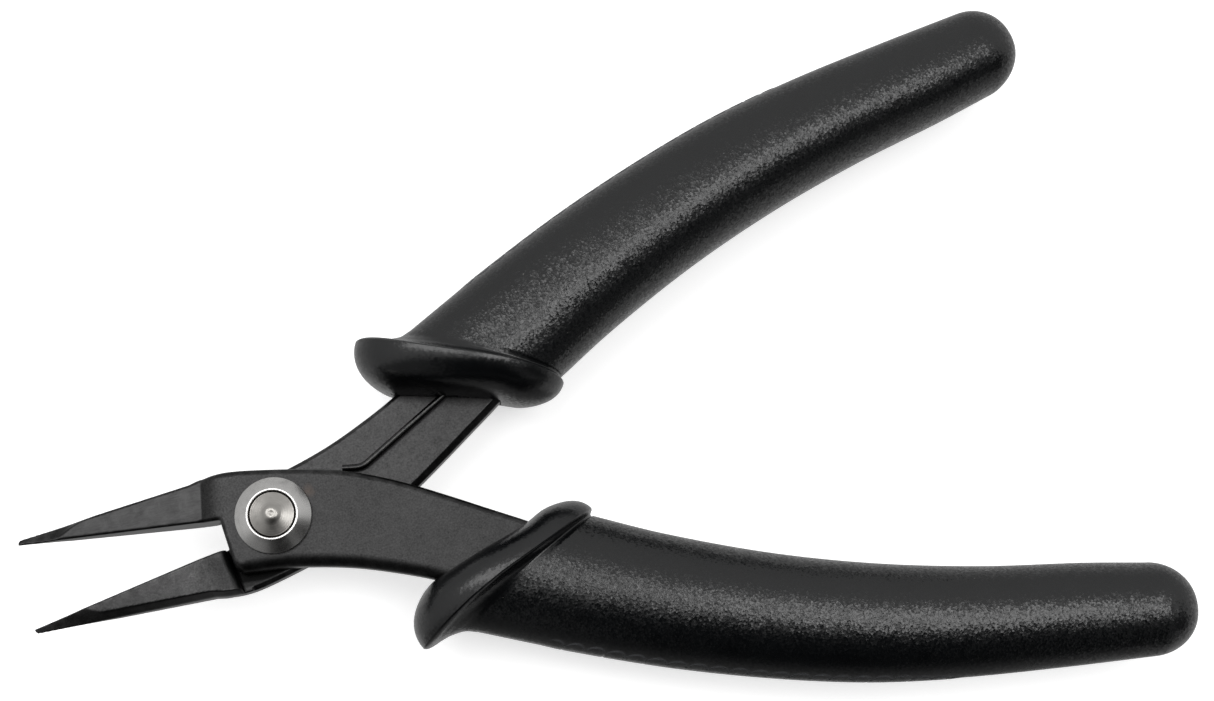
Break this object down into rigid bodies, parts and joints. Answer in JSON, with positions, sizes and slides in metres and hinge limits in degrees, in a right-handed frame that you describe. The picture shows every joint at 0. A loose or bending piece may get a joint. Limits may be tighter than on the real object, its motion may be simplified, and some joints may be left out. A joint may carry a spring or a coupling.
{
  "type": "fine-nose micro pliers",
  "caption": "Fine-nose micro pliers: lapped steel arms on a chamfered pivot nut, wire return spring, curved moulded grips with slanted guard flanges.",
  "frame": {"origin": "centre of the pivot screw head's outer (back) face, on the pivot axis", "axes": "+Z along the pivot axis towards the nut, +X from the pivot towards the handle ends along the handles' bisector, jaws towards -X"},
  "size_m": [0.1286, 0.0807, 0.0181],
  "materials": {
    "arm_steel": "black-oxide satin, tumbled edges",
    "nut_steel": "turned and polished, bare",
    "screw_steel": "turned, bare",
    "wire_steel": "blackened spring wire, glossy",
    "grip_plastic": "black, fine spark-eroded grain"
  },
  "bodies": {
    "front_half": {"front_arm": "arm_steel", "pivot_screw": "screw_steel", "pivot_nut": "nut_steel", "lower_grip": "grip_plastic"},
    "rear_half": {"rear_arm": "arm_steel", "upper_grip": "grip_plastic", "spring_tail": "wire_steel"},
    "spring_wire": {"spring_leg": "wire_steel"}
  },
  "joints": [
    {"name": "handle_pivot", "type": "hinge", "parent": "front_half", "child": "rear_half", "pos_m": [0, 0, 0], "axis": [0, 0, 1], "range_deg": [-19.2, 2.5], "stiffness_Nm_per_rad": 0.6},
    {"name": "spring_flex", "type": "hinge", "parent": "rear_half", "child": "spring_wire", "pos_m": [0.02626, 0.01162, 0.00493], "axis": [0, 0, 1], "range_deg": [-10.6, 1.5]}
  ],
  "couplings": [
    {"joint": "spring_flex", "follows": "handle_pivot", "ratio": 0.54}
  ]
}
